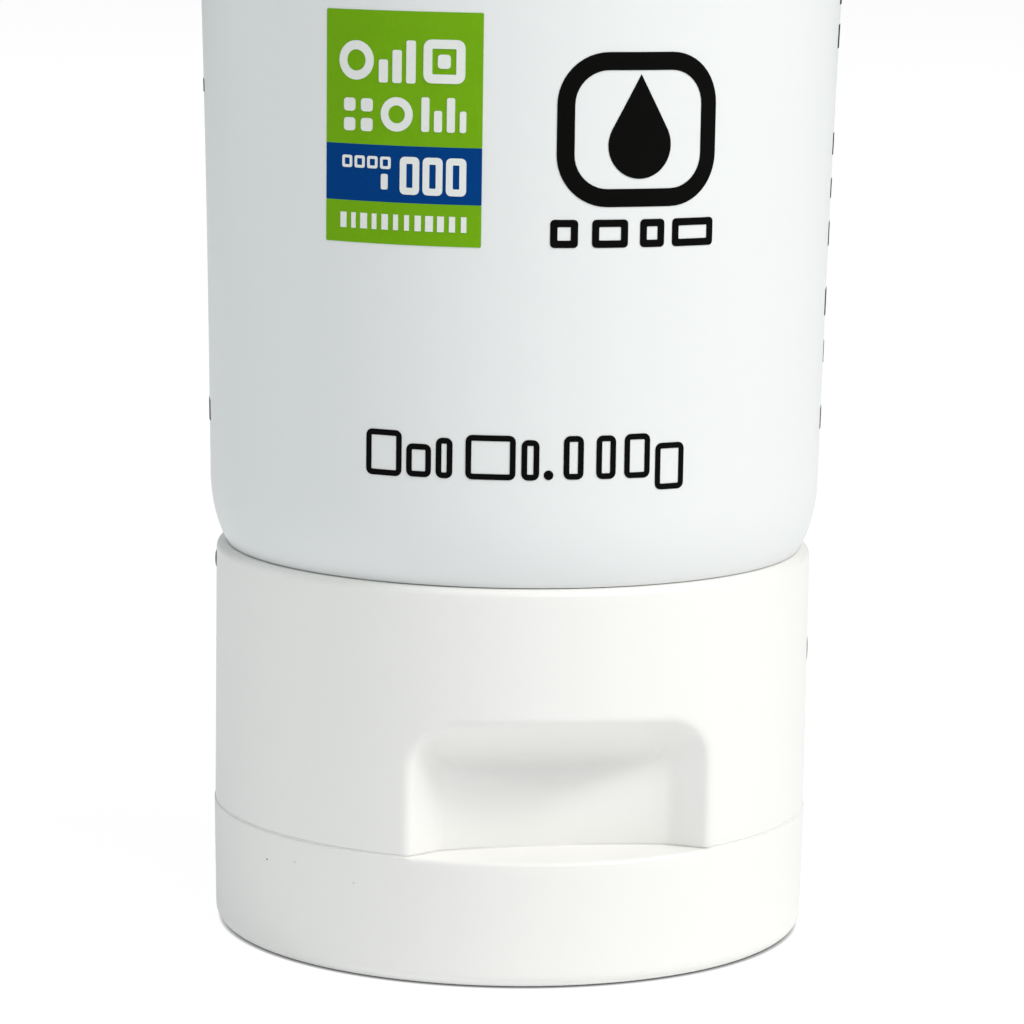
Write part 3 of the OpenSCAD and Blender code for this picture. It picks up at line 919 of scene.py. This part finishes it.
skirt_rows = [circle_row(CAP_R, WINDOW_TOP_Z + (RIM_Z - RIM_ROUND - WINDOW_TOP_Z) * k / 8,
                         top_azimuths) for k in range(1, 9)]
for k in range(1, 9):
    a = math.pi / 2 * k / 8
    skirt_rows.append(circle_row(CAP_R - RIM_ROUND * (1 - math.cos(a)),
                                 RIM_Z - RIM_ROUND * (1 - math.sin(a)), top_azimuths))
edge = 0.28 * ORIFICE_ROUND
for r, z in ((SKIRT_IN_R + RIM_IN_BEVEL, RIM_Z), (SKIRT_IN_R, RIM_Z - RIM_IN_BEVEL),
             (SKIRT_IN_R, HOLLOW_FLOOR_Z), (COLLAR_OUT_R, HOLLOW_FLOOR_Z),
             (COLLAR_OUT_R, COLLAR_TOP_Z), (COLLAR_R, COLLAR_TOP_Z), (COLLAR_R, DECK_TOP_Z),
             (ORIFICE_R, DECK_TOP_Z), (ORIFICE_R, NOZZLE_Z + ORIFICE_ROUND),
             (ORIFICE_R + edge, NOZZLE_Z + edge), (ORIFICE_R + ORIFICE_ROUND, NOZZLE_Z),
             (NOZZLE_R - NOZZLE_ROUND, NOZZLE_Z)):
    skirt_rows.append(circle_row(r, z, top_azimuths))
nozzle_ids = join_rows(top_ids, skirt_rows)

# Around the foot: the recess's back wall and the rest of the circle make another closed row
foot_ids = ([arch_ids[0][j] for j in range(ACROSS + 1)]
            + [arch_ids[ARCH][j] for j in range(ACROSS, -1, -1)] + [s[0] for s in strips[1:-1]])
assert len(foot_ids) == len(top_ids)
foot_points = [Vector(verts[k]) for k in foot_ids]
foot_azimuths = [math.atan2(p.x, -p.y) for p in foot_points]
foot_r = [math.hypot(p.x, p.y) for p in foot_points]
foot_table = sorted((a, r) for a, r in zip(foot_azimuths, foot_r) if abs(a) <= WINDOW_HALF + 1e-6)
deck_rows = []
for t in (0.15, 0.4, 0.7, 1.0):
    row = []
    for k, (r, a) in enumerate(zip(foot_r, foot_azimuths)):
        goal = top_azimuths[k]
        a2 = a if a > -WINDOW_HALF - 1e-6 and goal <= WINDOW_HALF else goal
        mix = a2 * (1 - t) + goal * t
        rr = r * (1 - t) + (NOZZLE_R + NOZZLE_FOOT_ROUND) * t
        row.append((rr * math.sin(mix), -rr * math.cos(mix), BASE_Z))
    deck_rows.append(row)
foot_edge = 0.25 * NOZZLE_FOOT_ROUND
tip_edge = 0.3 * NOZZLE_ROUND
for r, z in ((NOZZLE_R + foot_edge, BASE_Z - foot_edge), (NOZZLE_R, BASE_Z - NOZZLE_FOOT_ROUND),
             (NOZZLE_R, NOZZLE_Z + NOZZLE_ROUND), (NOZZLE_R - tip_edge, NOZZLE_Z + tip_edge)):
    deck_rows.append(circle_row(r, z, top_azimuths))
nozzle_side_ids = join_rows(foot_ids, deck_rows)
for k in range(len(nozzle_ids)):
    k2 = (k + 1) % len(nozzle_ids)
    faces.append((nozzle_ids[k], nozzle_ids[k2], nozzle_side_ids[k2], nozzle_side_ids[k]))

# The lower edge of the skirt has a fine bevel, which the recess's back wall has not
for k, (x, y, z) in enumerate(verts):
    r = math.hypot(x, y)
    if BASE_Z <= z < BASE_Z + SPLIT_BEVEL and r > CAP_R - 0.05:
        pull = SPLIT_BEVEL - (z - BASE_Z)
        verts[k] = (x * (1 - pull / r), y * (1 - pull / r), z)

# Snap ring under the deck: it stops short of the lid's thumb ledge
RING_R = 17.65
RING_WALL = 1.2
RING_L = 1.3
RING_START = 40
BEAD = 0.12
ring_outline = [(RING_R - RING_WALL, BASE_Z + 0.05), (RING_R, BASE_Z + 0.05),
                (RING_R, BASE_Z - RING_L + 0.5), (RING_R + BEAD, BASE_Z - RING_L + 0.35),
                (RING_R + BEAD, BASE_Z - RING_L + 0.12), (RING_R, BASE_Z - RING_L),
                (RING_R - RING_WALL + 0.2, BASE_Z - RING_L),
                (RING_R - RING_WALL, BASE_Z - RING_L + 0.2)]
ring_strips = []
for k in range(161):
    a = math.radians(RING_START + (360 - 2 * RING_START) * k / 160)
    ring_strips.append(add_points([(r * math.sin(a), -r * math.cos(a), z)
                                   for r, z in ring_outline]))
for a, b in zip(ring_strips, ring_strips[1:]):
    for k in range(len(ring_outline)):
        k2 = (k + 1) % len(ring_outline)
        faces.append((a[k], b[k], b[k2], a[k2]))
faces.append(tuple(ring_strips[0]))
faces.append(tuple(reversed(ring_strips[-1])))
closure_base = finished_piece("closure_base", verts, faces, closure_white, crease=32)
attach(closure_base, "root")
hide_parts("cap_base")

# Lid: the shallow cup that the tube stands on, from the same mould and material. It has a flat
# ledge that closes the foot of the thumb recess, a plug for the nozzle and a snap bead.
LID_R = 19.56
LID_FOOT_R = 19.42
LID_TOP_Z = 8.1
LID_WALL = 1.3
LID_FLOOR = 1.4
FOOT_ROUND = 0.9
FOOT_RING_IN_R = 15.66
DISH = 0.35
LEDGE_R = 13.8
LEDGE_CORNER = 0.5
LEDGE_ROUND = 0.22
LIP_PLAY = 0.02
LIP_TOP_Z = 8.213
LIP_INSET = 0.35
LIP_LEAST_W = 0.2
LIP_DRAFT = 0.02
LID_BEAD_Z = (6.13, 6.3, 6.55, 6.72)
HOLLOW_ROUND = 0.6
PLUG_R = 1.75
PLUG_ROUND = 0.8
PLUG_FOOT_R = 2.25
PLUG_FOOT_ROUND = 0.4
PLUG_STEP_Z = 5.32
PLUG_TIP_Z = 8.02

# The lid's columns stand closer together in front, where the ledge and the recess are
FRONT_HALF = 46
FRONT_COLUMNS = 184
REST_COLUMNS = 200
lid_azimuths = [math.radians(-FRONT_HALF + 2 * FRONT_HALF * k / FRONT_COLUMNS)
                for k in range(FRONT_COLUMNS)]
lid_azimuths += [math.radians(FRONT_HALF + (360 - 2 * FRONT_HALF) * k / REST_COLUMNS)
                 for k in range(REST_COLUMNS)]


def ledge_edge(a):
    # distance from the axis to the lid's hollow, which the thumb ledge narrows in front
    inner = LID_R - LID_WALL
    if math.cos(a) < 0.5:
        return inner
    p = RECESS_SCOOP * (math.sin(a) / RECESS_SCOOP_AT) ** 2
    c = math.cos(a)
    r = LEDGE_R / c if p < 1e-9 else (c - math.sqrt(max(c * c - 4 * p * LEDGE_R, 0))) / (2 * p)
    gap = max(LEDGE_CORNER - abs(r - inner), 0) / LEDGE_CORNER
    return min(r, inner) - gap * gap * LEDGE_CORNER / 4


def foot_radius(a):
    # distance from the axis to the lower edge of the skirt or of the recess's wall
    a = a if a < math.pi else a - 2 * math.pi
    if abs(a) > WINDOW_HALF:
        return CAP_R
    return float(np.interp(a, [p[0] for p in foot_table], [p[1] for p in foot_table]))


def in_recess(a):
    # 1 under the recess, 0 under the skirt, with a soft change at the recess's foot
    a = abs(a if a < math.pi else a - 2 * math.pi)
    return 1 - smooth_step((math.degrees(a) - 28.5) / 1.5)


def lid_row(radius, z):
    # radius and z may be numbers or functions of the azimuth
    row = []
    for a in lid_azimuths:
        r = radius(a) if callable(radius) else radius
        h = z(a) if callable(z) else z
        row.append((r * math.sin(a), -r * math.cos(a), h))
    return row


def edge_size(a):
    # round on the lid's upper edge, larger where it is the ledge's own front edge
    return SPLIT_BEVEL + LEDGE_ROUND * in_recess(a)


def lip_out(a):
    # the lid's low lip closes the gap just behind the skirt and the recess's back wall
    edge = min(foot_radius(a + step) for step in (-0.004, 0, 0.004))
    return edge - LIP_PLAY * (1 - 0.9 * in_recess(a))


def lip_in(a):
    # the lip's inner side, clear of the lid's hollow
    return min(ledge_edge(a) + LIP_INSET, lip_out(a) - LIP_LEAST_W)


def bead_out(a):
    # the snap bead stands inwards all round but at the ledge
    return ledge_edge(a) - (BEAD if ledge_edge(a) > LID_R - LID_WALL - 0.01 else 0)


verts, faces = [], []
rows = [lid_row(0.0, DISH), lid_row(8.0, DISH), lid_row(FOOT_RING_IN_R - 0.5, DISH),
        lid_row(FOOT_RING_IN_R - 0.1, DISH * 0.7), lid_row(FOOT_RING_IN_R + 0.15, 0.0),
        lid_row(LID_FOOT_R - FOOT_ROUND, 0.0)]
for k in range(1, 9):
    a = math.pi / 2 * k / 8
    rows.append(lid_row(LID_FOOT_R - FOOT_ROUND * (1 - math.sin(a)),
                        FOOT_ROUND * (1 - math.cos(a))))
for k in range(1, 12):
    t = k / 11
    rows.append(lid_row(LID_FOOT_R + (LID_R - LID_FOOT_R) * t,
                        lambda a, t=t: FOOT_ROUND + (LID_TOP_Z - edge_size(a) - FOOT_ROUND) * t))
for k in range(1, 6):
    b = math.pi / 2 * k / 5
    rows.append(lid_row(lambda a, b=b: LID_R - edge_size(a) * (1 - math.cos(b)),
                        lambda a, b=b: LID_TOP_Z - edge_size(a) * (1 - math.sin(b))))
for t in (0.25, 0.5, 0.75):
    rows.append(lid_row(lambda a, t=t: (LID_R - edge_size(a)) * (1 - t) + lip_out(a) * t,
                        LID_TOP_Z))
rows += [lid_row(lip_out, LID_TOP_Z), lid_row(lambda a: lip_out(a) - LIP_DRAFT, LIP_TOP_Z),
         lid_row(lip_in, LIP_TOP_Z), lid_row(lambda a: lip_in(a) - LIP_DRAFT, LID_TOP_Z),
         lid_row(lambda a: ledge_edge(a) + 0.12, LID_TOP_Z),
         lid_row(lambda a: ledge_edge(a) + 0.03, LID_TOP_Z - 0.03),
         lid_row(ledge_edge, LID_TOP_Z - 0.12), lid_row(ledge_edge, LID_BEAD_Z[3]),
         lid_row(bead_out, LID_BEAD_Z[2]), lid_row(bead_out, LID_BEAD_Z[1]),
         lid_row(ledge_edge, LID_BEAD_Z[0]), lid_row(ledge_edge, LID_FLOOR + HOLLOW_ROUND),
         lid_row(lambda a: ledge_edge(a) - 0.3 * HOLLOW_ROUND, LID_FLOOR + 0.3 * HOLLOW_ROUND),
         lid_row(lambda a: ledge_edge(a) - HOLLOW_ROUND, LID_FLOOR), lid_row(9.0, LID_FLOOR),
         lid_row(PLUG_FOOT_R + PLUG_FOOT_ROUND, LID_FLOOR),
         lid_row(PLUG_FOOT_R, LID_FLOOR + PLUG_FOOT_ROUND),
         lid_row(PLUG_FOOT_R, PLUG_STEP_Z - 0.12), lid_row(PLUG_FOOT_R - 0.1, PLUG_STEP_Z),
         lid_row(PLUG_R, PLUG_STEP_Z), lid_row(PLUG_R, PLUG_TIP_Z - PLUG_ROUND)]
for k in range(1, 6):
    b = math.pi / 2 * k / 5
    rows.append(lid_row(PLUG_R - PLUG_ROUND * (1 - math.cos(b)),
                        PLUG_TIP_Z - PLUG_ROUND * (1 - math.sin(b))))
rows.append(lid_row(0.0, PLUG_TIP_Z))
skin_between(verts, faces, rows)
closure_lid = finished_piece("closure_lid", verts, faces, closure_white, crease=32)
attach(closure_lid, "lid")
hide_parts("lid")

# Marks and specks: two dark oval marks on the sides of the skirt, just where its outline turns
# away, and three specks of dust on the lid. Each is a thin oval patch on the plastic,
# [body, radius, azimuth, bottom, top, half angle, thickness].
marks = {"skirt_dark_mark_left": ("root", CAP_R, -98.2, 23.35, 24.5, 1.6, 0.09),
         "skirt_dark_mark_right": ("root", CAP_R, 75.2, 17.8, 19.4, 1.0, 0.04),
         "lid_speck_large": ("lid", LID_R - 0.02, -62.9, 6.28, 6.36, 0.18, 0.03),
         "lid_speck_middle": ("lid", LID_R - 0.01, -54.6, 6.65, 6.7, 0.08, 0.02),
         "lid_speck_small": ("lid", LID_R - 0.02, -40.5, 6.05, 6.1, 0.08, 0.03)}
for name, (body, radius, azimuth, low, high, half, thick) in marks.items():
    verts, faces, rows = [], [], []
    for share, lift in ((0.02, thick), (0.5, 0.9 * thick), (0.85, 0.5 * thick), (1.0, 0.0),
                        (1.0, -0.03), (0.02, -0.03)):
        row = []
        for k in range(24):
            a = 2 * math.pi * k / 24
            turn = math.radians(azimuth + half * share * math.sin(a))
            row.append(((radius + lift) * math.sin(turn), -(radius + lift) * math.cos(turn),
                        (low + high) / 2 + (high - low) / 2 * share * math.cos(a)))
        rows.append(row)
    skin_between(verts, faces, rows)
    faces.append(tuple(range(24)))
    faces.append(tuple(range(len(verts) - 24, len(verts))))
    mark = finished_piece(name, verts, faces, ink_black)
    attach(mark, body)

# Living hinge: two thin straps moulded with both halves, built closed: each is folded over on
# itself at the back. Open, each would lie flat.
HINGE_Y = 19.76
HINGE_Z = 8.16
STRAP_W = 3.6
STRAP_SPACE = 4.4
FOLD_R = 0.26
FOLD_INSET = 0.21
FILM_HALF = 0.10
ROOT_EXTRA = 0.08
verts, faces = [], []
strap_line = [(HINGE_Y - 1.4, 0.36), (HINGE_Y - 0.6, 0.36), (HINGE_Y - 0.28, 0.30)]
strap_line += [(HINGE_Y - FOLD_INSET + FOLD_R * math.cos(math.radians(a)),
                FOLD_R * math.sin(math.radians(a))) for a in range(90, -91, -15)]
strap_line += [(y, -z) for y, z in reversed(strap_line[:3])]
for side in (-1, 1):
    middle = side * (STRAP_SPACE + STRAP_W) / 2
    loops = []
    for k, (y, z) in enumerate(strap_line):
        y0, z0 = strap_line[max(k - 1, 0)]
        y1, z1 = strap_line[min(k + 1, len(strap_line) - 1)]
        d = Vector((y1 - y0, z1 - z0)).normalized()
        centre = abs(k - (len(strap_line) - 1) / 2) / ((len(strap_line) - 1) / 2)
        t = FILM_HALF + ROOT_EXTRA * smooth_step((centre - 0.5) / 0.4)
        loop = []
        for w, o in ((-0.5, -1), (0.5, -1), (0.5, 1), (-0.5, 1)):
            loop.append((middle + w * STRAP_W, y - d.y * t * o, HINGE_Z + z + d.x * t * o))
        loops.append(loop)
    start = len(verts)
    skin_between(verts, faces, loops)
    faces.append(tuple(range(start, start + 4)))
    faces.append(tuple(range(len(verts) - 4, len(verts))))
hinge_straps = finished_piece("hinge_straps", verts, faces, closure_white, crease=50)
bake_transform(hinge_straps)

# Grease: a pale lubricating paste that fills the tube. It reaches down through the neck and stands
# in the nozzle's hole, just above the tip of the lid's plug.
GREASE_LOW_Z = 8.6
GREASE_TOP_Z = 9.6
grease_paste = plastic("grease_paste", (0.70, 0.66, 0.52), 0.25, 0.1, 0.05, 400, 3000, 0.2, 0.05)
grease_columns = [2 * math.pi * k / 48 for k in range(48)]
verts, faces = [], []
skin_between(verts, faces, [circle_row(r, z, grease_columns) for r, z in
                            ((0.0, GREASE_LOW_Z - 0.25), (0.8, GREASE_LOW_Z - 0.2),
                             (1.5, GREASE_LOW_Z), (ORIFICE_R - 0.02, GREASE_LOW_Z + 0.3),
                             (ORIFICE_R - 0.02, GREASE_TOP_Z), (0.0, GREASE_TOP_Z))])
grease = finished_piece("grease", verts, faces, grease_paste)
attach(grease, "root")
